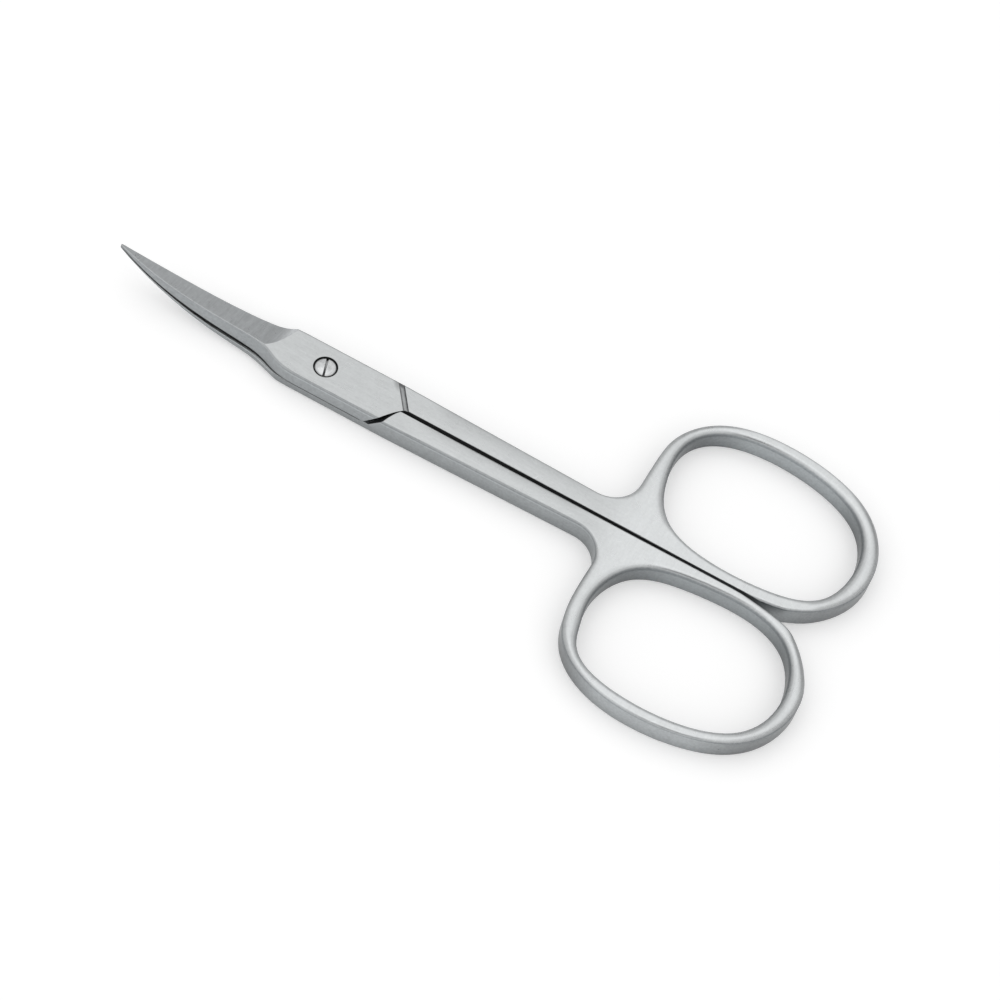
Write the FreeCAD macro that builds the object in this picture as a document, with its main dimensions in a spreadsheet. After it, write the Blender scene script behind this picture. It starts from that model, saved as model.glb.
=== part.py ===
import FreeCAD, Part
import os
import re
import Sketcher

# Curved cuticle scissors, closed: two forged halves that cross at a slotted pivot screw.
# The pivot axis is Z through the origin and the underside of the shanks is z = 0.
# The blades point to -X and curve up, the finger rings lie towards +X.
# The upper half has its ring on the +Y side, the lower half on the -Y side.

# Driving dimensions in millimetres, angles in degrees
SIZES = {
    # Plates
    "thickness": 2.95,         # shank and ring, from the underside to the top
    "leaf_low": 1.2,           # leaf of the lower half, up to the parting face
    "leaf_play": 0.03,         # running clearance between the two leaves
    "blank_top": 6.0,          # height of the forging blank above the underside
    # Joint and shanks
    "joint_half": 2.88,        # joint edge on a half's own side, from the axis
    "joint_over": 2.9,         # leaf edge over the other half, at the parting face
    "joint_front": 4.2,        # where the joint's own edge turns into the blade
    "joint_back": 9.0,         # where the joint's own edge turns into the shank
    "over_lean": 0.125,        # lean of the leaf edge over the other half, per mm of height
    "shank_half": 2.4,         # shank edge at the ring, from the axis
    "seam_front": 0.255,       # half of the gap between the shanks, at the joint
    "seam_ring": 0.18,         # half of the gap between the rings
    "seam_start": 16.0,        # where the gap begins to narrow
    "seam_side": 0.27,         # from the axis to the middle of the gap, towards the lower half's ring
    # Shoulder where the joint leaf ends against the other half's shank
    "shoulder_out": 6.5,       # at the outer edge, on the parting face
    "shoulder_in": 8.7,        # at the seam, on the parting face
    "shoulder_lean": 0.91,     # lean towards the rings, per mm away from the parting face
    "shoulder_gap": 0.1,
    # Finger ring
    "ring_left": 36.42,
    "ring_length": 26.33,
    "ring_width": 19.8,
    "notch_radius": 3.6,       # hollow between shank and ring
    "ring_base": 0.15,         # from the axis to the line that the ring's width is set out from
    "band_front": 1.72,        # wall of the ring towards the shank
    "band_end": 1.7,
    "band_seam": 1.28,
    "band_side": 1.42,
    "ring_round": 0.55,        # rounding of the finger hole's edges
    "top_round": 0.28,         # rounding of the upper edges
    "under_round": 0.35,       # rounding of the lower edges
    "leaf_break": 0.15,        # broken edge of the leaf over the other half
    "ridge_round": 0.07,       # rounding of the ridge along the upper blade
    # Blades
    "blade_tip": 26.4,
    "rise_start": 5.0,         # where the blades begin to curve up
    "rise_radius": 61.5,
    "hollow_start": 4.0,       # hollow between the blades
    "hollow_radius": 49.0,
    "tip_play": 0.08,          # between the two blades at their tips
    "spine_lean": 0.3,         # lean of the upper blade's spine, per mm of height
    "upper_bevel_angle": 16.5,
    "upper_bevel_start": 7.8,
    "upper_bevel_height": 2.461,
    "upper_bevel_radius": 68.5,
    "lower_bevel_angle": 11.3,
    "lower_bevel_start": 6.2,
    "lower_bevel_height": 0.065,
    "lower_bevel_radius": 45.55,
    "runout_radius": 4.0,      # where a bevel runs out into the joint
    # Relief channel across the upper half behind the joint
    "channel_out": 8.0,        # middle of the channel at the joint's own edge
    "channel_in": 10.15,       # middle of the channel at the axis
    "channel_width": 0.62,
    "channel_depth": 0.16,
    # Pivot screw
    "screw_shaft": 1.84,
    "screw_play": 0.03,
    "thread": 1.5,
    "head": 2.42,
    "head_depth": 0.8,
    "head_well": 2.76,
    "head_dome": 0.1,
    "slot_width": 0.22,        # in the middle of the head
    "slot_flare": 0.4,         # at the rim of the head
    "slot_depth": 0.4,
    "slot_angle": 108.0,
}

# Outlines of the finger rings and of their holes, as shares of their own length and width.
# A ring's outline runs on past the seam, where the seam cuts it off.
UPPER_RING = [(0, 0.548), (-0.004, 0.708), (0.216, 1.05), (0.903, 0.968), (1.073, 0.429), (0.911, 0.101),
              (0.785, 0.022), (0.735, -0.013), (0.421, -0.038)]
LOWER_RING = [(0, 0.468), (-0.017, 0.799), (0.316, 1.058), (0.896, 0.942), (1.041, 0.497), (0.966, 0.255),
              (0.855, 0.087), (0.78, 0.032), (0.421, -0.014)]
UPPER_HOLE = [(0.001, 0.403), (-0.019, 0.818), (0.291, 1.058), (1.018, 0.913), (1.025, 0.177),
              (0.777, -0.014), (0.127, -0.016)]
LOWER_HOLE = [(-0.016, 0.466), (0.029, 0.685), (0.084, 1.038), (1.062, 1.003), (1.006, -0.02),
              (0.396, 0), (0.08, 0.098)]
# How far along the ring the cut of the seam runs
SEAM_CUT = 0.8
# Blade outlines: the share of the blade's length, then the share of the joint's half-width
UPPER_EDGE = [(1, 0.07), (0.906, 0.21), (0.705, 0.44), (0.44, 0.635), (0.214, 0.79), (0.125, 0.93),
              (0.03, 1), (-0.03, 1)]
LOWER_EDGE = [(1, 0.035), (0.906, 0.21), (0.66, 0.44), (0.393, 0.56), (0.192, 0.58), (0.103, 0.825),
              (0.036, 1), (-0.045, 1)]
UPPER_SPINE = [(1.03, 0.4), (0.884, 0.55), (0.66, 0.6), (0.348, 0.49), (0.179, 0.5), (0.098, 0.69),
               (0.009, 1), (-0.076, 1)]
LOWER_SPINE = [(1.03, 0), (0.906, 0.207), (0.705, 0.397), (0.44, 0.483), (0.192, 0.483), (0.098, 0.69),
               (0.009, 1), (-0.076, 1)]
# Lean of the wall over the other half at each point of a spine, per mm of height
UPPER_LEAN = ["spine_lean"] * 6 + ["over_lean"] * 2
LOWER_LEAN = ["0"] * 6 + ["over_lean"] * 2
# Shoulder: the share of its length, then the share of the leaf's half-width, up to the seam
SHOULDER = [(0, 1), (0.3, 0.58), (0.6, 0.2)]
# Where the flat inner face at the pivot runs out into the recess for the other half's leaf
FLAT_END = "shoulder_out * 0.7"
# Beyond the part, for cuts that run right through
BEHIND = "ring_left + 2 * ring_length"
ABOVE = "blank_top + 1"
# How near a point counts as lying on a face
NEAR = 0.001

doc = FreeCAD.newDocument("cuticle_scissors")
sheet = doc.addObject("Spreadsheet::Sheet", "sizes")
for row, (alias, value) in enumerate(SIZES.items(), start=1):
    sheet.set("A%d" % row, alias)
    sheet.set("B%d" % row, str(value))
    sheet.setAlias("B%d" % row, alias)
doc.recompute()


def bind(text):
    """An expression in which each size's name points to its cell."""
    return re.sub(r"\b(%s)\b" % "|".join(SIZES), r"sizes.\1", str(text))


def new_sketch(body, name, role, height="0", tilt="0"):
    """A sketch on one of the body's origin planes, raised, and tilted about its own X axis."""
    sketch = body.newObject("Sketcher::SketchObject", name)
    support = next(item for item in body.Origin.OriginFeatures if item.Role == role)
    sketch.AttachmentSupport = (support, "")
    sketch.MapMode = "FlatFace"
    tilt_axis = FreeCAD.Vector(1, 0, 0)
    angle = float(sketch.evalExpression(bind(tilt)))
    sketch.AttachmentOffset = FreeCAD.Placement(FreeCAD.Vector(), FreeCAD.Rotation(tilt_axis, angle))
    sketch.setExpression("AttachmentOffset.Base.z", bind(height))
    if tilt != "0":
        sketch.setExpression("AttachmentOffset.Rotation.Angle", bind(tilt))
    return sketch


def spot(sketch, point):
    """Where a point of expressions lies in the sketch now."""
    x, y = (float(sketch.evalExpression(bind(text))) for text in point)
    return FreeCAD.Vector(x, y, 0)


def fix_point(sketch, shape, end, point):
    """Ties a point of the sketch to the expressions of its two coordinates."""
    place = spot(sketch, point)
    for axis, now, text in (("X", place.x, point[0]), ("Y", place.y, point[1])):
        number = sketch.addConstraint(Sketcher.Constraint("Distance" + axis, -1, 1, shape, end, now))
        name = "place_%s_%d_%d" % (axis.lower(), shape, end)
        sketch.renameConstraint(number, name)
        sketch.setExpression("Constraints." + name, bind(text))


def add_curve(sketch, poles, closed=False):
    """A smooth curve led by its poles, each tied to its expressions."""
    places = [spot(sketch, pole) for pole in poles]
    curve = sketch.addGeometry(Part.BSplineCurve(places, None, None, closed, 3, None, False), False)
    for number, (pole, place) in enumerate(zip(poles, places)):
        handle = sketch.addGeometry(Part.Circle(place, FreeCAD.Vector(0, 0, 1), 1), True)
        if number == 0:
            sketch.addConstraint(Sketcher.Constraint("Weight", handle, 1.0))
        else:
            sketch.addConstraint(Sketcher.Constraint("Equal", curve + 1, handle))
        sketch.addConstraint(Sketcher.Constraint(
            "InternalAlignment:Sketcher::BSplineControlPoint", handle, 3, curve, number))
        fix_point(sketch, handle, 3, pole)
    return curve


def add_arc(sketch, turn, radius, start, end):
    """A short arc from start to end that turns left or right, tied to its radius."""
    first, last = spot(sketch, start), spot(sketch, end)
    size = float(sketch.evalExpression(bind(radius)))
    chord = last - first
    left = FreeCAD.Vector(-chord.y, chord.x, 0).normalize()
    side = left if turn == "left" else -left
    centre = (first + last) * 0.5 + side * (size ** 2 - (chord.Length / 2) ** 2) ** 0.5
    arc = sketch.addGeometry(Part.Arc(first, centre - side * size, last), False)
    number = sketch.addConstraint(Sketcher.Constraint("Radius", arc, size))
    name = "radius_%d" % arc
    sketch.renameConstraint(number, name)
    sketch.setExpression("Constraints." + name, bind(radius))
    return arc


def add_outline(sketch, stretches):
    """A closed outline of stretches: a line or curve with its points, or a turn with its radius and ends."""
    shapes = []
    for kind, *parts in stretches:
        if kind == "curve":
            shapes.append(add_curve(sketch, parts))
        elif kind == "line":
            ends = (spot(sketch, parts[0]), spot(sketch, parts[1]))
            shapes.append(sketch.addGeometry(Part.LineSegment(*ends), False))
        else:
            shapes.append(add_arc(sketch, kind, *parts))
    for number, shape in enumerate(shapes):
        before = shapes[number - 1]
        corner = spot(sketch, stretches[number - 1][-1])
        ends = [min((1, 2), key=lambda end: sketch.getPoint(item, end).distanceToPoint(corner))
                for item in (before, shape)]
        sketch.addConstraint(Sketcher.Constraint("Coincident", before, ends[0], shape, ends[1]))
        if "curve" not in (stretches[number - 1][0], stretches[number][0]):
            fix_point(sketch, shape, ends[1], stretches[number - 1][-1])


def polyline(*points):
    """The lines that join the points in turn."""
    return [("line", start, end) for start, end in zip(points, points[1:])]


def mirrored(stretches):
    """The same stretches on the other side of the axis."""
    swap = {"left": "right", "right": "left"}
    turned = []
    for kind, *parts in stretches:
        flipped = [(part[0], "-(%s)" % part[1]) if isinstance(part, tuple) else part for part in parts]
        turned.append((swap.get(kind, kind), *flipped))
    return turned


def add_feature(body, kind, name, **settings):
    """A feature of the body. A setting given as text beginning with an equals sign is an expression."""
    feature = body.newObject(kind, name)
    for key, setting in settings.items():
        if isinstance(setting, str) and setting.startswith("="):
            feature.setExpression(key, bind(setting[1:]))
        else:
            setattr(feature, key, setting)
    doc.recompute()
    return feature


def along_blade(share):
    return "-(joint_front + (blade_tip - joint_front) * %s)" % share


def seam(side, end):
    """Edge of a half along the seam, on its own side: 1 for the upper half, -1 for the lower half."""
    return "(seam_%s %s seam_side)" % (end, "-" if side > 0 else "+")


def half_outline(edge, ring_poles):
    """Plan of a half with its own side towards +Y, and an apron on the other side that is trimmed later."""
    blade = [(along_blade(length), "joint_half * %s" % width) for length, width in edge]
    neck = ("ring_left - notch_radius", "shank_half")
    ring_start = ("ring_left", "shank_half + notch_radius")
    ring = [("ring_left + ring_length * %s" % length, "ring_base + ring_width * %s" % width)
            for length, width in ring_poles]
    apron_back = (ring[-1][0], "-2 * joint_over")
    apron_tip = ("-blade_tip", "-2 * joint_over")
    back = ("joint_back", "joint_half")
    return [("curve", *blade), ("line", blade[-1], back), ("line", back, neck),
            ("left", "notch_radius", neck, ring_start), ("curve", ring_start, *ring),
            *polyline(ring[-1], apron_back, apron_tip, blade[0])]


def shoulder(side, away, gap="0"):
    """Plan of the shoulder at a distance from the parting face, from the leaf's edge to the seam."""
    shift = "shoulder_lean * (%s) + (%s)" % (away, gap)
    bends = [("shoulder_out + (shoulder_in - shoulder_out) * %s + %s" % (length, shift),
              "-joint_over * %s" % width) for length, width in SHOULDER]
    return bends + [("shoulder_in + " + shift, seam(side, "front"))]


def other_side(side, spine, away, lean):
    """Plan of what is trimmed from the apron at a distance from the parting face."""
    wall = [(along_blade(length), "-(joint_over * %s - %s * (%s))" % (width, rate, away))
            for (length, width), rate in zip(spine, lean)]
    end = shoulder(side, away)
    end[0] = (end[0][0], wall[-1][1])
    far = "-3 * joint_over"
    behind = "seam_start + 1"
    ahead = wall[0][0]
    return [("curve", *wall), ("line", wall[-1], end[0]), ("curve", *end),
            *polyline(end[-1], ("seam_start", seam(side, "front")), (behind, "-joint_half"), (behind, far),
                      (ahead, far), wall[0])]


def past_seam(side):
    """Plan of what the seam takes off a half, from the shoulder to the end of the ring."""
    far = "-3 * joint_over"
    ring = "ring_left + ring_length * %s"
    front = ("seam_start", seam(side, "front"))
    return polyline(front, (ring % (SEAM_CUT / 2), seam(side, "ring")), (ring % SEAM_CUT, seam(side, "ring")),
                    (ring % SEAM_CUT, far), (front[0], far), front)


def recess(side, away):
    """Plan of the room for the other half's leaf at a distance from the parting face."""
    end = shoulder(side, away, "shoulder_gap")
    end[0] = (end[0][0], "-2 * joint_over")
    front = "shoulder_out / 2"
    corner = (end[-1][0], "2 * joint_over")
    return [("curve", *end),
            *polyline(end[-1], corner, (front, "2 * joint_over"), (front, "-2 * joint_over"), end[0])]


def plan_sketch(body, name, stretches, side, height="0"):
    """A closed plan outline on a half's own side: 1 for the upper half, -1 for the lower half."""
    sketch = new_sketch(body, name, "XY_Plane", height)
    add_outline(sketch, stretches if side > 0 else mirrored(stretches))
    return sketch


def profile_sketch(body, name, stretches, tilt="0"):
    """A closed outline seen from the side, in X and Z."""
    sketch = new_sketch(body, name, "XZ_Plane", "0", tilt)
    add_outline(sketch, stretches)
    return sketch


def cut_across(body, name, sketch):
    """Cuts a sketch right through the half, to both sides of its plane."""
    add_feature(body, "PartDesign::Pocket", name, Profile=sketch, Type="ThroughAll", SideType="Symmetric")


def cut_between(body, name, low, high):
    """Cuts the straight-sided room between two plan sketches."""
    add_feature(body, "PartDesign::SubtractiveLoft", name, Profile=low, Sections=[high], Ruled=True)


def rise(distance):
    """Height of the upper blade's inner face at a distance from the pivot."""
    drop = "sqrt(rise_radius ^ 2 - (%s - rise_start) ^ 2)" % distance
    return "leaf_low + leaf_play + rise_radius - " + drop


def upper_inner_profile():
    """What lies below the upper half's inner face: flat at the joint, then curving up along the blade."""
    flat = (FLAT_END, "leaf_low + leaf_play")
    bend = ("-rise_start", "leaf_low + leaf_play")
    ahead = "-(blade_tip + 1)"
    tip = (ahead, rise("(blade_tip + 1)"))
    return [("line", flat, bend), ("right", "rise_radius", bend, tip),
            *polyline(tip, (ahead, "-thickness"), (flat[0], "-thickness"), flat)]


def lower_inner_profile():
    """What lies above the lower half's inner face, which is hollow so that the edges meet at the tip."""
    flat = (FLAT_END, "leaf_low")
    bend = ("-hollow_start", "leaf_low")
    tip = ("-blade_tip", rise("blade_tip") + " - tip_play")
    ahead = "-(blade_tip + 1)"
    return [("line", flat, bend), ("right", "hollow_radius", bend, tip),
            *polyline(tip, (ahead, tip[1]), (ahead, ABOVE), (BEHIND, ABOVE), (BEHIND, "thickness"),
                      (flat[0], "thickness"), flat)]


def upper_top_profile():
    """What lies above the flat top of the upper half, behind the bevel of its blade."""
    front = "-upper_bevel_start"
    return polyline((front, "thickness"), (BEHIND, "thickness"), (BEHIND, ABOVE), (front, ABOVE),
                    (front, "thickness"))


def bevel_profile(half, up):
    """What a blade's bevel takes away: along the curve of the blade, then out over the joint."""
    start, height = half + "_bevel_start", half + "_bevel_height"
    radius = half + "_bevel_radius"
    ahead = "-(blade_tip + 2)"
    low = ("-" + start, height)
    tip = (ahead, "%s + %s - sqrt(%s ^ 2 - (blade_tip + 2 - %s) ^ 2)" % (height, radius, radius, start))
    out = ("runout_radius - " + start, "%s + %d * runout_radius" % (height, up))
    beyond = "%d * 2 * blank_top" % up
    turn = "right" if up > 0 else "left"
    return [(turn, "runout_radius", out, low), ("right", radius, low, tip),
            *polyline(tip, (ahead, beyond), (out[0], beyond), out)]


def start_half(label, side, edge, ring_poles):
    """The forging blank of a half with its own plan, as tall as the blades rise."""
    body = doc.addObject("PartDesign::Body", label)
    body.Label = label
    outline = plan_sketch(body, label + "_plan", half_outline(edge, ring_poles), side)
    add_feature(body, "PartDesign::Pad", label + "_blank", Profile=outline, Length="=blank_top")
    return body


def cut_finger_hole(body, label, side, hole_poles):
    """Cuts the finger hole, led by its poles on the half's own side."""
    sketch = new_sketch(body, label + "_hole", "XY_Plane")
    left, low = "ring_left + band_front", "ring_base + band_seam"
    length = "(ring_length - band_front - band_end)"
    width = "(ring_width - band_seam - band_side)"
    poles = [("%s + %s * %s" % (left, length, share), "%d * (%s + %s * %s)" % (side, low, width, height))
             for share, height in hole_poles]
    add_curve(sketch, poles, closed=True)
    cut_across(body, label + "_finger_hole", sketch)


def trim_other_side(body, label, side, spine, lean):
    """Shapes the side over the other half: the blade's spine, the leaf's edge and the shoulder."""
    reach = ("0 - leaf_low", "blank_top - leaf_low") if side > 0 else ("leaf_low - 0", "leaf_low - blank_top")
    low = plan_sketch(body, label + "_trim_low", other_side(side, spine, reach[0], lean), side)
    high = plan_sketch(body, label + "_trim_high", other_side(side, spine, reach[1], lean), side, "blank_top")
    cut_between(body, label + "_trim", low, high)


def cut_recess(body, label, side):
    """Room in the full thickness of the shank for the end of the other half's leaf."""
    if side > 0:
        depths, heights = ("leaf_low + 1", "-leaf_play"), ("-1", "leaf_low + leaf_play")
    else:
        depths, heights = ("0", "blank_top - leaf_low"), ("leaf_low", "blank_top")
    low = plan_sketch(body, label + "_recess_low", recess(-side, depths[0]), -side, heights[0])
    high = plan_sketch(body, label + "_recess_high", recess(-side, depths[1]), -side, heights[1])
    cut_between(body, label + "_recess", low, high)


def size(alias):
    return sheet.get(alias)


def edges_where(body, test):
    """Names of the edges that pass a test in their middle and near both ends."""
    names = []
    for number, edge in enumerate(body.Shape.Edges, start=1):
        first, last = edge.ParameterRange
        if all(test(edge.valueAt(first + (last - first) * share)) for share in (0.1, 0.5, 0.9)):
            names.append("Edge%d" % number)
    return names


def round_edges(body, name, radius, test):
    edges = edges_where(body, test)
    add_feature(body, "PartDesign::Fillet", name, Base=(body.Tip, edges), Radius="=" + radius)


def break_edges(body, name, width, test):
    edges = edges_where(body, test)
    add_feature(body, "PartDesign::Chamfer", name, Base=(body.Tip, edges), Size="=" + width)


def at_height(point, alias):
    return abs(point.z - (size(alias) if alias else 0)) < NEAR


def in_hole(point, side):
    """On the wall of the finger hole, not on the outside of the ring."""
    left = size("ring_left") + size("band_front") / 2
    right = size("ring_left") + size("ring_length") - size("band_end") / 2
    low = size("ring_base") + size("band_seam") / 2
    high = size("ring_base") + size("ring_width") - size("band_side") / 2
    return left < point.x < right and low < side * point.y < high


def on_outline(point, side):
    """On a half's own outline behind the blade, not on its finger hole, leaf or recess."""
    across = side * point.y
    at_side = across > size("shank_half") - NEAR
    at_ring = point.x > size("ring_left") - size("notch_radius") and across > -size("band_seam")
    return point.x > -size("rise_start") and (at_side or at_ring) and not in_hole(point, side)


def round_ring_hole(body, label, side):
    round_edges(body, label + "_hole_edges", "ring_round", lambda point: in_hole(point, side) and (
        at_height(point, "thickness") or at_height(point, None)))


def round_outline(body, label, side):
    round_edges(body, label + "_top_edges", "top_round",
                lambda point: at_height(point, "thickness") and on_outline(point, side))
    round_edges(body, label + "_under_edges", "under_round",
                lambda point: at_height(point, None) and on_outline(point, side))


def cut_seam(body, label, side):
    """Cuts a half off along the seam, after its outline is rounded, so that the seam's edges are crisp."""
    cut_across(body, label + "_seam", plan_sketch(body, label + "_seam_plan", past_seam(side), side))


def cut_round(body, name, diameter, height, depth):
    """A round hole on the pivot axis, down from a height."""
    sketch = new_sketch(body, name + "_circle", "XY_Plane", height)
    circle = sketch.addGeometry(Part.Circle(), False)
    sketch.addConstraint(Sketcher.Constraint("Coincident", circle, 3, -1, 1))
    number = sketch.addConstraint(Sketcher.Constraint("Diameter", circle, 1.0))
    sketch.renameConstraint(number, "across")
    sketch.setExpression("Constraints.across", bind(diameter))
    add_feature(body, "PartDesign::Pocket", name, Profile=sketch, Length="=" + depth)


def cut_channel(body, label):
    """The relief channel on the top of the upper half, from the outer edge to the shoulder."""
    across = "channel_width / 2 * sqrt(1 + ((channel_in - channel_out) / joint_half) ^ 2)"
    middle = "channel_in + (channel_out - channel_in) * %s"
    inner, outer = -0.12, 1.3
    corners = [("%s %s %s" % (middle % share, sign, across), "joint_half * %s" % share)
               for share, sign in ((inner, "-"), (outer, "-"), (outer, "+"), (inner, "+"))]
    sketch = plan_sketch(body, label + "_channel_plan", polyline(*corners, corners[0]), 1, "thickness")
    add_feature(body, "PartDesign::Pocket", label + "_channel", Profile=sketch, Length="=channel_depth")


def on_leaf_edge(point, side):
    """On the outer rim of the joint leaf over the other half, from the shoulder to the blade."""
    at_face = at_height(point, "thickness" if side > 0 else None)
    across = -side * point.y
    over = size("joint_over") / 3 < across < size("joint_over")
    return at_face and over and point.x < size("shoulder_out") + 1


def on_ridge(point):
    """On the ridge between the upper blade's bevel and its spine, short of the tip."""
    ahead, behind = -size("blade_tip") + 0.5, -size("upper_bevel_start")
    return ahead < point.x < behind + 0.5 and point.z > size("thickness") - 0.1 and point.y < 0.1


def build_upper():
    label = "upper_half"
    body = start_half(label, 1, UPPER_EDGE, UPPER_RING)
    trim_other_side(body, label, 1, UPPER_SPINE, UPPER_LEAN)
    cut_across(body, label + "_inner_face", profile_sketch(body, label + "_inner", upper_inner_profile()))
    cut_recess(body, label, 1)
    cut_across(body, label + "_top_face", profile_sketch(body, label + "_top", upper_top_profile()))
    bevel = profile_sketch(body, label + "_bevel_side", bevel_profile("upper", 1), "-upper_bevel_angle")
    cut_across(body, label + "_bevel", bevel)
    cut_finger_hole(body, label, 1, UPPER_HOLE)
    round_ring_hole(body, label, 1)
    round_outline(body, label, 1)
    cut_seam(body, label, 1)
    break_edges(body, label + "_leaf_edge", "leaf_break", lambda point: on_leaf_edge(point, 1))
    round_edges(body, label + "_ridge", "ridge_round", on_ridge)
    cut_channel(body, label)
    cut_round(body, label + "_well", "head_well", "thickness", "head_depth")
    cut_round(body, label + "_pivot_hole", "screw_shaft + 2 * screw_play", "thickness", "thickness")
    return body


def build_lower():
    label = "lower_half"
    body = start_half(label, -1, LOWER_EDGE, LOWER_RING)
    trim_other_side(body, label, -1, LOWER_SPINE, LOWER_LEAN)
    cut_across(body, label + "_inner_face", profile_sketch(body, label + "_inner", lower_inner_profile()))
    cut_recess(body, label, -1)
    bevel = profile_sketch(body, label + "_bevel_side", bevel_profile("lower", -1), "-lower_bevel_angle")
    cut_across(body, label + "_bevel", bevel)
    cut_finger_hole(body, label, -1, LOWER_HOLE)
    round_ring_hole(body, label, -1)
    round_outline(body, label, -1)
    cut_seam(body, label, -1)
    break_edges(body, label + "_leaf_edge", "leaf_break", lambda point: on_leaf_edge(point, -1))
    cut_round(body, label + "_thread_hole", "thread", "leaf_low", "leaf_low")
    return body


def build_screw():
    """The pivot screw: a slotted head, a plain shaft in the upper leaf, a threaded end in the lower leaf."""
    label = "pivot_screw"
    body = doc.addObject("PartDesign::Body", label)
    body.Label = label
    seat = "thickness - head_depth + leaf_play"
    rim = ("head / 2", "thickness - head_dome")
    dome = "((head / 2) ^ 2 + head_dome ^ 2) / (2 * head_dome)"
    outline = [("left", dome, rim, ("0", "thickness")),
               *polyline(("0", "thickness"), ("0", "0"), ("thread / 2", "0"), ("thread / 2", "leaf_low"),
                         ("screw_shaft / 2", "leaf_low"), ("screw_shaft / 2", seat), ("head / 2", seat), rim)]
    profile = profile_sketch(body, label + "_profile", outline)
    axis = next(item for item in body.Origin.OriginFeatures if item.Role == "Z_Axis")
    add_feature(body, "PartDesign::Revolution", label + "_turned", Profile=profile,
                ReferenceAxis=(axis, [""]))
    bow = "(head ^ 2 + ((slot_flare - slot_width) / 2) ^ 2) / (slot_flare - slot_width)"
    corners = [("head", "-slot_flare / 2"), ("head", "slot_flare / 2"),
               ("-head", "slot_flare / 2"), ("-head", "-slot_flare / 2")]
    slot = new_sketch(body, label + "_slot_plan", "XY_Plane", "thickness")
    upright = FreeCAD.Rotation(FreeCAD.Vector(0, 0, 1), size("slot_angle"))
    slot.AttachmentOffset = FreeCAD.Placement(FreeCAD.Vector(), upright)
    slot.setExpression("AttachmentOffset.Rotation.Angle", bind("slot_angle"))
    add_outline(slot, [("line", corners[0], corners[1]), ("right", bow, corners[1], corners[2]),
                       ("line", corners[2], corners[3]), ("right", bow, corners[3], corners[0])])
    add_feature(body, "PartDesign::Pocket", label + "_slot", Profile=slot, Length="=slot_depth")
    return body


pieces = [build_upper(), build_lower(), build_screw()]
for item in doc.Objects:
    if "Invalid" in item.State or "Error" in item.State:
        raise RuntimeError("%s did not build: %s" % (item.Name, item.State))
os.makedirs("parts", exist_ok=True)
for body in pieces:
    if body.Shape.isNull() or not body.Shape.isValid() or len(body.Shape.Solids) != 1:
        raise RuntimeError("%s is not one sound solid" % body.Label)
    body.Shape.exportStep("parts/%s.step" % body.Label)
    print(body.Label, "%.2f mm3" % body.Shape.Volume)
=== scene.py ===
"""Looks and stage for the closed cuticle scissors, laid out as an add-on."""

from math import radians

import bmesh
import bpy
from bpy.props import FloatProperty, FloatVectorProperty, PointerProperty
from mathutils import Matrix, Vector

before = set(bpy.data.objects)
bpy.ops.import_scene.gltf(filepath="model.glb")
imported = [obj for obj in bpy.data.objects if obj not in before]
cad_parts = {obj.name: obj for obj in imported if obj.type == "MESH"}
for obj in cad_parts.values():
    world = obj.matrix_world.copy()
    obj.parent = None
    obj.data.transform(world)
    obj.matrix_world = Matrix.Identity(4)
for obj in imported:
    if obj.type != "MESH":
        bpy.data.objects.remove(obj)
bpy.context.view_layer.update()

bl_info = {
    "name": "Cuticle Scissors",
    "version": (1, 0, 0),
    "blender": (4, 5, 0),
    "location": "View3D > Sidebar > Scissors",
    "description": "Finishes the steel of a pair of cuticle scissors and sets up a small studio for them",
    "category": "Object",
}

TO_MILLIMETRES = 1000.0
BUMP_UNIT = 0.001  # bump heights are in mm

# Places on the scissors, in mm from the pivot
RISE_START, RISE_RADIUS = 5.0, 61.5  # where the blades begin to curve up, and how tightly
RING_START, RING_WHOLE = 33.0, 39.0  # where a shank begins to turn into a ring, and is one
RING_MIDDLE, RING_ASIDE = 49.6, 9.96  # middle of a finger hole, along and away from the seam
CHANNEL_OUTER, CHANNEL_INNER = (8.0, 2.88), (10.15, 0.0)  # ends of the relief channel
# Painted shade: the parting line between the leaves is painted dark between these heights.
PARTING_LOW, PARTING_HIGH = 1.14, 1.3  # dark line between the two leaves
# Painted shade: the ring around the screw head is painted dark inside these radii.
WELL_CLEAN, WELL_DARK = 1.42, 1.37  # radii of the dark ring around the screw head
UPPER_CROWN, LOWER_CROWN = (1.03, -0.045), (1.31, -0.085)  # middle of a shank's crown, and its bend

# How steep a surface is, as the upright share of its normal
WALL_UPRIGHT, FLAT_UPRIGHT = 0.5, 0.85

# The studio
EYE = (0.067126, -0.164594, 0.252995)
EYE_TURN = (32.53521, -8.59354, 28.14172)
DARK_SIDE = (0.1426, -0.5337, 0.8336)
SOFTBOX_PLACE, SOFTBOX_SIZE, SOFTBOX_POWER = (-0.05, 0.06, 0.5), (0.5, 0.5), 0.16
FLOOR_GLOW = 0.31
WHITE = (1, 1, 1, 1)


def tint(name, words, default):
    return FloatVectorProperty(name=name, description=words, subtype="COLOR", size=3, min=0, max=1,
                               default=default)


def share(name, words, default):
    return FloatProperty(name=name, description=words, subtype="FACTOR", min=0, max=1, default=default)


def length(name, words, default):
    return FloatProperty(name=name, description=words, subtype="DISTANCE", unit="LENGTH", min=0,
                         default=default)


def level(name, words, default):
    return FloatProperty(name=name, description=words, min=0, default=default)


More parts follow.
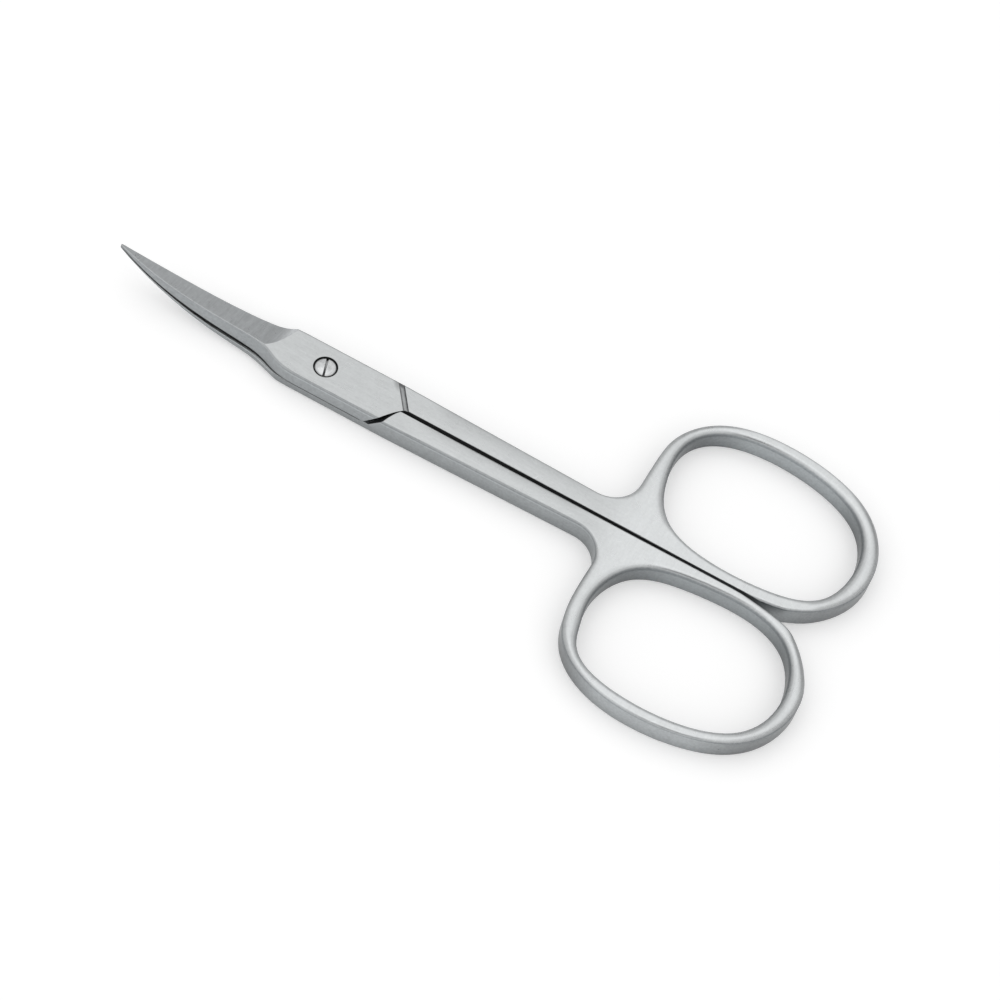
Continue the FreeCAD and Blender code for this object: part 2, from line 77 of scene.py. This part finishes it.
class ScissorsFinish(bpy.types.PropertyGroup):
    flat_colour: tint("Flats", "Satin steel of the flat top and underside", (0.528, 0.543, 0.546))
    # Painted shade: the side walls are the flats' steel, painted darker to stand in for their shade.
    shaded_wall_colour: tint("Walls", "Steel of the side walls, a little darker and cooler", (0.34, 0.357, 0.365))
    bevel_colour: tint("Bevels", "Cross-ground steel of the blades", (0.475, 0.492, 0.502))
    ring_colour: tint("Rings", "Tumbled steel of the finger rings", (0.635, 0.652, 0.657))
    # Painted shade: the rings' outer walls and the finger holes' walls are the ring steel painted darker, the
    # hole walls most.
    shaded_rim_colour: tint("Ring walls", "Steel of the outer walls of the rings", (0.435, 0.455, 0.465))
    shaded_hole_colour: tint("Hole walls", "Steel of the walls of the finger holes", (0.315, 0.335, 0.345))
    # Painted shade: dark lines painted where a ring's rounded edge meets its wall.
    crease_shade_colour: tint("Creases", "Darker lines where a rounded edge meets a wall", (0.2, 0.215, 0.225))
    # One dark colour for grime in the pits and for painted shade in the gaps, the screw slot, the well and beside
    # the channel; the relief channel is darkened with it too.
    grime_and_shade_colour: tint("Grime", "What collects in the channel, the well and the pits", (0.05, 0.05, 0.052))
    screw_colour: tint("Screw", "Steel of the pivot screw", (0.56, 0.57, 0.575))
    flat_roughness: share("Flats roughness", "Roughness of the satin flats", 0.29)
    wall_roughness: share("Walls roughness", "Roughness of the side walls", 0.38)
    screw_roughness: share("Screw roughness", "Roughness of the turned screw", 0.28)
    joint_edge: length("Joint edges", "How softly the edges of the blades, joint and screw are broken", 0.00008)
    shank_edge: length("Shank edges", "How softly the edges of the shanks are rounded", 0.0002)
    ring_edge: length("Ring edges", "How softly the edges of the rings are rounded", 0.0012)


class ScissorsStage(bpy.types.PropertyGroup):
    floor_colour: tint("Floor", "Pale floor that the scissors lie on", (0.8, 0.8, 0.8))
    floor_size: length("Floor size", "Side of the square floor", 3.0)
    sky_high: level("High light", "Strength of the light from above", 1.0)
    sky_back: level("Back light", "Strength of the light from low at the back", 0.58)
    sky_front: level("Front light", "Strength of the light from low at the front", 0.9)
    lens: FloatProperty(name="Lens", description="Focal length", subtype="DISTANCE_CAMERA", default=100.36)


class Graph:
    """Adds nodes to a tree and links them."""

    def __init__(self, tree):
        self.tree = tree

    def add(self, kind, inputs=None, **settings):
        """A node with its settings, and with its inputs linked to sockets or set to values."""
        node = self.tree.nodes.new(kind)
        for key, setting in settings.items():
            setattr(node, key, setting)
        for key, given in (inputs or {}).items():
            self.feed(node.inputs[key], given)
        return node

    def feed(self, socket, given):
        if isinstance(given, bpy.types.NodeSocket):
            self.tree.links.new(given, socket)
        else:
            socket.default_value = given

    def maths(self, operation, *terms):
        return self.add("ShaderNodeMath", dict(enumerate(terms)), operation=operation).outputs[0]

    def chain(self, operation, terms):
        result = terms[0]
        for term in terms[1:]:
            result = self.maths(operation, result, term)
        return result

    def times(self, *terms):
        return self.chain("MULTIPLY", terms)

    def plus(self, *terms):
        return self.chain("ADD", terms)

    def most(self, *terms):
        return self.chain("MAXIMUM", terms)

    def minus(self, first, second):
        return self.maths("SUBTRACT", first, second)

    def other(self, mask):
        """Where a mask isn't."""
        return self.minus(1.0, mask)

    def size(self, value):
        return self.maths("ABSOLUTE", value)

    def vector(self, operation, *terms, out="Vector"):
        return self.add("ShaderNodeVectorMath", dict(enumerate(terms)), operation=operation).outputs[out]

    def scaled(self, vector, factor):
        node = self.add("ShaderNodeVectorMath", {0: vector}, operation="SCALE")
        self.feed(node.inputs["Scale"], factor)
        return node.outputs["Vector"]

    def parts(self, vector):
        return self.add("ShaderNodeSeparateXYZ", {"Vector": vector}).outputs

    def joined(self, *values):
        return self.add("ShaderNodeCombineXYZ", dict(enumerate(values))).outputs[0]

    def noise(self, vector, scale, detail, **more):
        return self.add("ShaderNodeTexNoise", {"Vector": vector, "Scale": scale, "Detail": detail,
                                               **more}).outputs["Fac"]

    def span(self, value, start, end, low=0.0, high=1.0, kind="SMOOTHSTEP"):
        """Value carried smoothly from one span to another, and held at the ends."""
        return self.add("ShaderNodeMapRange", {"Value": value, "From Min": start, "From Max": end,
                                               "To Min": low, "To Max": high},
                        interpolation_type=kind).outputs["Result"]

    def inside(self, value, low, high, soft):
        """One between two values and nothing outside, with soft ends."""
        return self.times(self.span(value, low - soft, low + soft),
                          self.span(value, high + soft, high - soft))

    def blend(self, factor, first, second, mode="MIX"):
        node = self.add("ShaderNodeMix", data_type="RGBA", blend_type=mode)
        for number, given in ((0, factor), (6, first), (7, second)):
            self.feed(node.inputs[number], given)
        return node.outputs[2]

    def dim(self, rgb, factor):
        """A colour times a number that changes over the surface."""
        return self.blend(1.0, rgb, self.joined(factor, factor, factor), "MULTIPLY")

    def fill(self, tree, **named):
        """What a placed node group puts out."""
        node = self.add("ShaderNodeGroup", node_tree=tree)
        for key, given in named.items():
            self.feed(node.inputs[key], given)
        return node.outputs[0]

    def place(self):
        """Object coordinates in mm, and the normal."""
        source = self.add("ShaderNodeTexCoord").outputs
        return self.scaled(source["Object"], TO_MILLIMETRES), source["Normal"]

    def raise_surface(self, shader, height, normal):
        bump = self.add("ShaderNodeBump", {"Height": height, "Distance": BUMP_UNIT, "Strength": 1.0,
                                           "Normal": normal})
        self.feed(shader.inputs["Normal"], bump.outputs["Normal"])


def colour(rgb):
    return (*rgb, 1.0)


def group(name, inputs, output, build):
    """A node group with its sockets, built the first time that it is asked for."""
    if name in bpy.data.node_groups:
        return bpy.data.node_groups[name]
    tree = bpy.data.node_groups.new(name, "ShaderNodeTree")
    for label, kind, default in inputs:
        socket = tree.interface.new_socket(label, in_out="INPUT", socket_type="NodeSocket" + kind)
        socket.default_value = default
    tree.interface.new_socket(output, in_out="OUTPUT", socket_type="NodeSocketFloat")
    graph = Graph(tree)
    made = build(graph, graph.add("NodeGroupInput").outputs)
    graph.feed(graph.add("NodeGroupOutput").inputs[output], made)
    return tree


PLACE = ("Place", "Vector", (0, 0, 0))


def ground_lines():
    """Fine parallel lines left by grinding, coarse and fine together, around 0."""
    def build(graph, given):
        run = graph.vector("MULTIPLY", given["Place"], given["Stretch"])
        coarse = graph.noise(run, 1.0, 2.0, Roughness=0.6)
        fine = graph.noise(run, given["Fine"], 1.0, Roughness=0.5)
        return graph.plus(coarse, graph.times(fine, 0.6), -0.8)
    return group("ground_lines", [PLACE, ("Stretch", "Vector", (1, 1, 1)), ("Fine", "Float", 4.0)],
                 "Lines", build)


def mottle():
    """Soft cloudy unevenness, around 0."""
    def build(graph, given):
        return graph.plus(graph.noise(given["Place"], given["Scale"], 4.0, Roughness=0.6), -0.5)
    return group("mottle", [PLACE, ("Scale", "Float", 1.0)], "Mottle", build)


def pits():
    """Tiny round pits, of which only a share is there."""
    def build(graph, given):
        per = graph.maths("DIVIDE", 1.0, given["Spacing"])
        cells = graph.add("ShaderNodeTexVoronoi", {"Vector": given["Place"], "Scale": per}).outputs
        away = graph.times(cells["Distance"], given["Spacing"])
        lot = graph.add("ShaderNodeSeparateColor", {"Color": cells["Color"]}).outputs
        there = graph.maths("LESS_THAN", lot["Red"], given["Share"])
        reach = graph.times(given["Size"], graph.plus(lot["Green"], 0.5))
        return graph.times(graph.span(away, graph.times(reach, 0.4), reach, 1.0, 0.0), there)
    return group("pits", [PLACE, ("Spacing", "Float", 2.0), ("Size", "Float", 0.12),
                          ("Share", "Float", 0.3)], "Pits", build)


def scratches():
    """A few fine straight scratches."""
    def build(graph, given):
        turned = graph.add("ShaderNodeVectorRotate", {"Vector": given["Place"], "Angle": given["Turn"]},
                           rotation_type="Z_AXIS").outputs["Vector"]
        wave = graph.noise(graph.vector("MULTIPLY", turned, (0.18, 1.3, 0.3)), 1.0, 0.0)
        gate = graph.noise(graph.vector("ADD", turned, (31, 17, 5)), 0.35, 1.0)
        off = graph.size(graph.plus(wave, -0.5))
        line = graph.span(off, 0.0, given["Width"], 1.0, 0.0, "LINEAR")
        return graph.times(line, graph.span(gate, 0.5, 0.62))
    return group("scratches", [PLACE, ("Turn", "Float", 0.0), ("Width", "Float", 0.01)], "Scratches", build)


def new_material(name):
    material = bpy.data.materials.new(name)
    material.use_nodes = True
    return material, Graph(material.node_tree), material.node_tree.nodes["Principled BSDF"]


def dress(node_name, material):
    """Puts a material into the slot of a CAD node."""
    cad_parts[node_name].material_slots[0].material = material


def from_line(graph, x, y, start, end):
    """Distance in plan from a line through two points, to its left."""
    along = Vector((end[0] - start[0], end[1] - start[1])).normalized()
    return graph.plus(graph.times(x, -along.y), graph.times(y, along.x),
                      along.y * start[0] - along.x * start[1])


class HalfSteel:
    """Steel of a half: satin flats, walls painted darker as shade, a cross-ground blade and a tumbled ring."""

    def __init__(self, name, finish, side):
        self.material, self.graph, shader = new_material(name)
        self.finish, self.side = finish, side
        self.find_places()
        self.add_patterns()
        self.soften_edges()
        graph, grime_and_shade = self.graph, self.grime_and_shade()
        # Base colour: the steel, darkened by grime in the pits and by painted shade in the gaps and hollows.
        graph.feed(shader.inputs["Base Color"], graph.blend(grime_and_shade, self.steel(), colour(finish.grime_and_shade_colour)))
        shader.inputs["Metallic"].default_value = 1.0
        rough = graph.span(self.upright, WALL_UPRIGHT, FLAT_UPRIGHT, finish.wall_roughness, finish.flat_roughness)
        graph.feed(shader.inputs["Roughness"], graph.plus(rough, graph.times(self.cloud, 0.12),
                                                          graph.times(grime_and_shade, 0.3)))
        graph.raise_surface(shader, self.height(), self.soft)

    def find_places(self):
        """Masks for the flats, the ring, the ends of the ring and the blade's bevel."""
        graph = self.graph
        self.place, normal = graph.place()
        spot = graph.parts(self.place)
        self.x, self.y, self.z = spot["X"], spot["Y"], spot["Z"]
        self.normal = graph.parts(normal)
        self.across = graph.times(self.y, self.side)
        self.upright = graph.size(self.normal["Z"])
        self.flat = graph.span(self.upright, WALL_UPRIGHT, FLAT_UPRIGHT)
        self.wall = graph.other(self.flat)
        self.ring = graph.span(self.x, RING_START, RING_WHOLE)
        self.ends = graph.span(graph.size(graph.plus(self.x, -RING_MIDDLE)), 4.0, 11.5)
        self.top = graph.span(self.normal["Z"], 0.3, 0.6)
        self.bevel = graph.times(graph.span(self.x, -4.6, -5.2), self.top, graph.span(self.normal["Y"], 0.1, 0.2))
        self.plain = graph.times(graph.other(self.ring), graph.other(self.bevel))

    def add_patterns(self):
        """Grinding lines along the shanks and across the blade, unevenness, pits and scratches."""
        graph, place = self.graph, self.place
        self.shank_lines = graph.fill(ground_lines(), Place=place, Stretch=(0.35, 3.2, 3.2))
        self.cross_lines = graph.fill(ground_lines(), Place=place, Stretch=(2.2, 0.25, 0.25))
        self.cloud = graph.fill(mottle(), Place=place, Scale=0.8)
        self.speck = graph.fill(mottle(), Place=place, Scale=3.4)
        self.scratch = graph.fill(scratches(), Place=place, Turn=0.5 * self.side, Width=0.012)
        pit = graph.fill(pits(), Place=place, Spacing=2.2, Size=0.13, Share=0.3)
        self.pit = graph.times(pit, self.ring, self.wall)

    def soften_edges(self):
        """Normal with the edges broken: sharp at the joint, rounder on the shanks, full at the ring's ends."""
        graph, finish = self.graph, self.finish
        shank = graph.span(self.x, 11.0, 20.0, 0.0, finish.shank_edge - finish.joint_edge)
        ring = graph.times(self.ring, graph.span(self.across, 1.2, 3.0),
                           graph.plus(graph.times(self.ends, 0.95), 0.05), finish.ring_edge - finish.shank_edge)
        radius = graph.plus(finish.joint_edge, shank, ring)
        soft = graph.add("ShaderNodeBevel", {"Radius": radius}, samples=8).outputs["Normal"]
        hard = graph.add("ShaderNodeNewGeometry").outputs["Normal"]
        turned = graph.scaled(graph.vector("SUBTRACT", soft, hard),
                              graph.plus(1.0, graph.times(self.ring, self.ends, 0.7)))
        self.soft = graph.vector("NORMALIZE", graph.vector("ADD", hard, turned))

    def steel(self):
        """Colour of the steel, with painted shade on its walls, creases and rounded edges, and painted light and
        shade on the ring.
        """
        graph, finish, x = self.graph, self.finish, self.x
        outward = graph.plus(graph.times(graph.plus(x, -RING_MIDDLE), self.normal["X"]),
                             graph.times(graph.plus(self.across, -RING_ASIDE), self.normal["Y"], self.side))
        body = graph.blend(self.ring, colour(finish.flat_colour), colour(finish.ring_colour))
        # Painted shade: ring walls facing into the hole are darker than those facing out.
        wall = graph.blend(graph.span(outward, -1.0, 2.0), colour(finish.shaded_hole_colour), colour(finish.shaded_rim_colour))
        wall = graph.blend(self.ring, colour(finish.shaded_wall_colour), wall)
        base = graph.blend(self.flat, wall, body)
        base = graph.blend(self.bevel, base, colour(finish.bevel_colour))
        # Painted shade in the creases between the ring's rounded edges and its walls.
        crease_shade = graph.times(graph.inside(self.upright, 0.12, 0.4, 0.06), self.ring, 0.5)
        base = graph.blend(crease_shade, base, colour(finish.crease_shade_colour))
        # Painted shade: the rounded edges between flats and walls, away from the bevel, take the darker wall
        # colour, strongly on the shanks and little on the rings.
        broken = graph.times(graph.inside(self.upright, 0.5, 0.95, 0.03), graph.other(self.bevel),
                             graph.span(x, RING_START, RING_WHOLE, 0.6, 0.15))
        base = graph.blend(broken, base, colour(finish.shaded_wall_colour))
        return graph.dim(base, graph.times(self.grain(), self.wall_shade(), self.ring_shade(outward)))

    def grain(self):
        """Lines, clouds and scratches, with a painted highlight band and a painted shade band along the top of
        the walls of the joint and the shanks.
        """
        graph, z = self.graph, self.z
        lines = graph.plus(graph.times(self.shank_lines, 0.16, self.plain),
                           graph.times(self.cross_lines, 0.34, self.bevel),
                           graph.times(self.cross_lines, 0.11, self.ring, self.flat))
        speck = graph.times(self.speck, graph.span(self.upright, FLAT_UPRIGHT, WALL_UPRIGHT, 0.2, 0.6))
        # Painted highlight: a light band below the top edge of the walls, with a painted shade band just above
        # it.
        painted_edge_lines = graph.plus(graph.times(graph.inside(z, 2.48, 2.62, 0.05), 0.3),
                          graph.times(graph.inside(z, 2.72, 2.82, 0.04), -0.18))
        painted_edge_lines = graph.times(painted_edge_lines, self.wall, graph.other(self.ring), graph.span(self.x, -5.0, -3.0))
        return graph.plus(1.0, lines, graph.times(self.cloud, 0.16), speck,
                          graph.times(self.scratch, 0.1, self.flat), painted_edge_lines)

    def wall_shade(self):
        """Painted shade: walls are darker towards the underside."""
        graph = self.graph
        return graph.plus(graph.times(graph.span(self.z, 0.0, 2.0, -0.22, 0.0), self.wall), 1.0)

    def ring_shade(self, outward):
        """Painted shade on the ring's turned edges, strongest at its ends, and painted light on the long walls of
        its hole.
        """
        graph = self.graph
        tilt = graph.span(graph.size(graph.parts(self.soft)["Z"]), 0.985, 0.6)
        # Painted shade on the ring's turned edges, strongest at its ends.
        darker = graph.times(self.ends, self.ring, tilt, -0.45)
        # Painted light on the long walls of the finger hole, more on the upper half.
        lighter = graph.times(graph.span(outward, 1.0, -2.0), graph.other(self.ends), self.ring, self.wall,
                              0.22 if self.side > 0 else 0.06)
        return graph.plus(1.0, darker, lighter)

    def grime_and_shade(self):
        """Grime in the pits, painted shade in the slit between the shanks and along the parting line between the
        leaves, and the upper half's hollows.
        """
        graph, x, y, z = self.graph, self.x, self.y, self.z
        # Painted shade in the slit between the shanks, fading out towards the rings.
        painted_slit_shade = graph.times(graph.inside(y, -0.75, 0.2, 0.12), graph.span(x, 8.0, 9.5), graph.span(z, 2.93, 2.7),
                           self.wall, graph.span(x, 34.0, 52.0, 0.6, 0.0))
        # Painted shade: the parting line between the two leaves, a dark band at a fixed height above the blade's
        # rise.
        over = graph.most(graph.minus(-RISE_START, x), 0.0)
        drop = graph.maths("SQRT", graph.minus(RISE_RADIUS ** 2, graph.times(over, over)))
        above = graph.minus(z, graph.minus(RISE_RADIUS, drop))
        painted_parting_shade = graph.times(graph.inside(above, PARTING_LOW, PARTING_HIGH, 0.05),
                              graph.inside(x, -26.0, 6.2, 0.4), graph.span(self.upright, 0.6, 0.3), 0.85)
        grime_and_shade = graph.most(self.pit, painted_slit_shade, painted_parting_shade)
        return graph.most(grime_and_shade, *self.hollows()) if self.side > 0 else grime_and_shade

    def hollows(self):
        """The relief channel darkened, most at its sides and towards its outer end, and painted shade in the well
        around the screw head and beside the channel's outer end.
        """
        graph, y = self.graph, self.y
        off = from_line(graph, self.x, y, CHANNEL_OUTER, CHANNEL_INNER)
        # The relief channel is darkened, most at its sides and towards its outer end.
        near = graph.inside(off, -0.45, 0.45, 0.05)
        corner = graph.plus(graph.span(graph.size(off), 0.04, 0.3, 0.36, 0.86), graph.times(self.speck, 0.5))
        outer_end_darkening = graph.times(near, graph.span(y, 1.9, 2.7), 0.8)
        channel = graph.times(near, graph.inside(self.z, 2.74, 2.88, 0.04), graph.most(corner, outer_end_darkening))
        out = graph.vector("LENGTH", graph.joined(self.x, y), out="Value")
        # Painted shade in the well around the screw head.
        well = graph.times(graph.span(out, WELL_CLEAN, WELL_DARK), 0.8)
        # Painted shade on the top face beside the channel's outer end.
        channel_side_shade = graph.times(graph.inside(off, -0.75, -0.2, 0.25), graph.span(y, 1.4, 2.6), self.top, 0.35)
        return channel, well, channel_side_shade

    def height(self):
        """Bump: the shanks' slight crown, the lines, the specks and the pits."""
        graph = self.graph
        middle, bend = UPPER_CROWN if self.side > 0 else LOWER_CROWN
        lean = graph.plus(self.across, -middle)
        crown = graph.times(lean, lean, bend, graph.span(self.x, 11.0, 15.0), graph.span(self.x, 34.0, 30.0))
        speck = graph.times(self.speck, graph.span(self.upright, FLAT_UPRIGHT, WALL_UPRIGHT, 0.0008, 0.002))
        return graph.plus(crown, graph.times(self.shank_lines, self.plain, 0.0006), speck,
                          graph.times(self.cross_lines, self.bevel, 0.002), graph.times(self.pit, -0.03))


class SCISSORS_OT_upper_half(bpy.types.Operator):
    """Finishes the upper half: satin flats, cross-ground blade, tumbled ring"""
    bl_idname = "scissors.upper_half"
    bl_label = "Finish upper half"

    def execute(self, context):
        dress("upper_half", HalfSteel("upper_steel", context.scene.scissors_finish, 1).material)
        return {"FINISHED"}


class SCISSORS_OT_lower_half(bpy.types.Operator):
    """Finishes the lower half: satin flats, cross-ground blade, tumbled ring"""
    bl_idname = "scissors.lower_half"
    bl_label = "Finish lower half"

    def execute(self, context):
        dress("lower_half", HalfSteel("lower_steel", context.scene.scissors_finish, -1).material)
        return {"FINISHED"}


class SCISSORS_OT_pivot_screw(bpy.types.Operator):
    """Finishes the pivot screw: turned steel with painted shade in its slot and at the head's rim, and a painted
    highlight
    """
    bl_idname = "scissors.pivot_screw"
    bl_label = "Finish pivot screw"

    def execute(self, context):
        finish = context.scene.scissors_finish
        material, graph, shader = new_material("screw_steel")
        place, _ = graph.place()
        spot = graph.parts(place)
        out = graph.vector("LENGTH", graph.joined(spot["X"], spot["Y"]), out="Value")
        speck = graph.fill(mottle(), Place=place, Scale=1.6)
        turned = graph.noise(graph.joined(out), 7.0, 2.0)

        # Painted highlight on the side of the head towards -Y.
        painted_highlight = graph.times(graph.span(spot["Y"], -0.1, -0.75), graph.span(out, 1.1, 0.8), 0.25)
        shade = graph.plus(1.0, graph.times(speck, 1.1), graph.times(graph.plus(turned, -0.5), 0.4), painted_highlight)
        # Painted shade, deeper in the slot and on one side of it, and around the head's rim.
        slot = graph.times(graph.span(spot["Z"], 2.86, 2.7),
                           graph.plus(graph.times(graph.span(spot["Y"], 0.5, -0.5), 0.4), 0.6))
        grime_and_shade = graph.most(slot, graph.times(graph.span(out, 1.05, 1.18), 0.7))
        steel = graph.dim(colour(finish.screw_colour), shade)
        graph.feed(shader.inputs["Base Color"], graph.blend(grime_and_shade, steel, colour(finish.grime_and_shade_colour)))
        shader.inputs["Metallic"].default_value = 1.0
        graph.feed(shader.inputs["Roughness"], graph.plus(finish.screw_roughness, graph.times(speck, 0.2)))
        soft = graph.add("ShaderNodeBevel", {"Radius": finish.joint_edge}, samples=8).outputs["Normal"]
        graph.raise_surface(shader, graph.plus(graph.times(turned, 0.002), graph.times(speck, 0.006)), soft)
        dress("pivot_screw", material)
        return {"FINISHED"}


def add_floor(stage):
    """A large pale sheet that is white where nothing shades it."""
    mesh = bpy.data.meshes.new("floor")
    sheet = bmesh.new()
    bmesh.ops.create_grid(sheet, x_segments=1, y_segments=1, size=stage.floor_size / 2)
    sheet.to_mesh(mesh)
    sheet.free()
    floor = bpy.data.objects.new("floor", mesh)
    bpy.context.scene.collection.objects.link(floor)
    material, graph, shader = new_material("floor_paper")
    shader.inputs["Base Color"].default_value = colour(stage.floor_colour)
    shader.inputs["Roughness"].default_value = 0.9
    shader.inputs["Specular IOR Level"].default_value = 0.0
    path = graph.add("ShaderNodeLightPath").outputs
    seen = graph.most(path["Is Camera Ray"], path["Is Glossy Ray"], path["Is Transmission Ray"])
    shader.inputs["Emission Color"].default_value = WHITE
    graph.feed(shader.inputs["Emission Strength"], graph.times(seen, FLOOR_GLOW))
    mesh.materials.append(material)


def add_sky(stage):
    """Even light from above, dimmer low down, with a soft dark place on the side of the photograph's camera."""
    world = bpy.data.worlds.new("studio")
    world.use_nodes = True
    graph = Graph(world.node_tree)
    way = graph.add("ShaderNodeTexCoord").outputs["Generated"]
    part = graph.parts(way)
    low = graph.span(part["Y"], -0.2, 0.4, stage.sky_front, stage.sky_back)
    up = graph.span(part["Z"], 0.36, 0.78)
    even = graph.plus(graph.times(low, graph.other(up)), graph.times(up, stage.sky_high))
    facing = graph.vector("DOT_PRODUCT", way, DARK_SIDE, out="Value")
    shade = graph.span(facing, 0.94, 0.985, 1.0, 0.12)
    sky = world.node_tree.nodes["Background"]
    graph.feed(sky.inputs["Strength"], graph.times(even, shade))
    sky.inputs["Color"].default_value = WHITE
    bpy.context.scene.world = world


def add_softbox():
    """A soft lamp that points at the pivot."""
    lamp = bpy.data.lights.new("overhead_softbox", "AREA")
    lamp.shape = "RECTANGLE"
    lamp.size, lamp.size_y = SOFTBOX_SIZE
    lamp.energy = SOFTBOX_POWER
    holder = bpy.data.objects.new("overhead_softbox", lamp)
    holder.location = SOFTBOX_PLACE
    holder.rotation_euler = Vector(SOFTBOX_PLACE).to_track_quat("Z", "Y").to_euler()
    bpy.context.scene.collection.objects.link(holder)


def add_camera(stage):
    """The photograph's view."""
    camera = bpy.data.cameras.new("photo_camera")
    camera.lens = stage.lens
    camera.sensor_width = 36
    camera.clip_start = 0.01
    eye = bpy.data.objects.new("photo_camera", camera)
    eye.location = EYE
    eye.rotation_euler = [radians(angle) for angle in EYE_TURN]
    bpy.context.scene.collection.objects.link(eye)
    bpy.context.scene.camera = eye


class SCISSORS_OT_stage(bpy.types.Operator):
    """Sets up the pale floor, the soft light and the camera"""
    bl_idname = "scissors.stage"
    bl_label = "Set up the studio"

    def execute(self, context):
        stage = context.scene.scissors_stage
        add_floor(stage)
        add_sky(stage)
        add_softbox()
        add_camera(stage)
        context.scene.view_settings.view_transform = "Standard"
        return {"FINISHED"}


class SCISSORS_PT_panel(bpy.types.Panel):
    """Lists the finishing steps in the sidebar"""
    bl_idname = "SCISSORS_PT_panel"
    bl_label = "Cuticle Scissors"
    bl_space_type = "VIEW_3D"
    bl_region_type = "UI"
    bl_category = "Scissors"

    def draw(self, context):
        column = self.layout.column()
        for step in STEPS:
            column.operator(step.bl_idname)


STEPS = (SCISSORS_OT_upper_half, SCISSORS_OT_lower_half, SCISSORS_OT_pivot_screw, SCISSORS_OT_stage)
CLASSES = (ScissorsFinish, ScissorsStage, *STEPS, SCISSORS_PT_panel)


def register():
    for item in CLASSES:
        bpy.utils.register_class(item)
    bpy.types.Scene.scissors_finish = PointerProperty(type=ScissorsFinish)
    bpy.types.Scene.scissors_stage = PointerProperty(type=ScissorsStage)


def unregister():
    del bpy.types.Scene.scissors_stage
    del bpy.types.Scene.scissors_finish
    for item in reversed(CLASSES):
        bpy.utils.unregister_class(item)


def main():
    register()
    bpy.ops.scissors.upper_half()
    bpy.ops.scissors.lower_half()
    bpy.ops.scissors.pivot_screw()
    bpy.ops.scissors.stage()


if __name__ == "__main__":
    main()
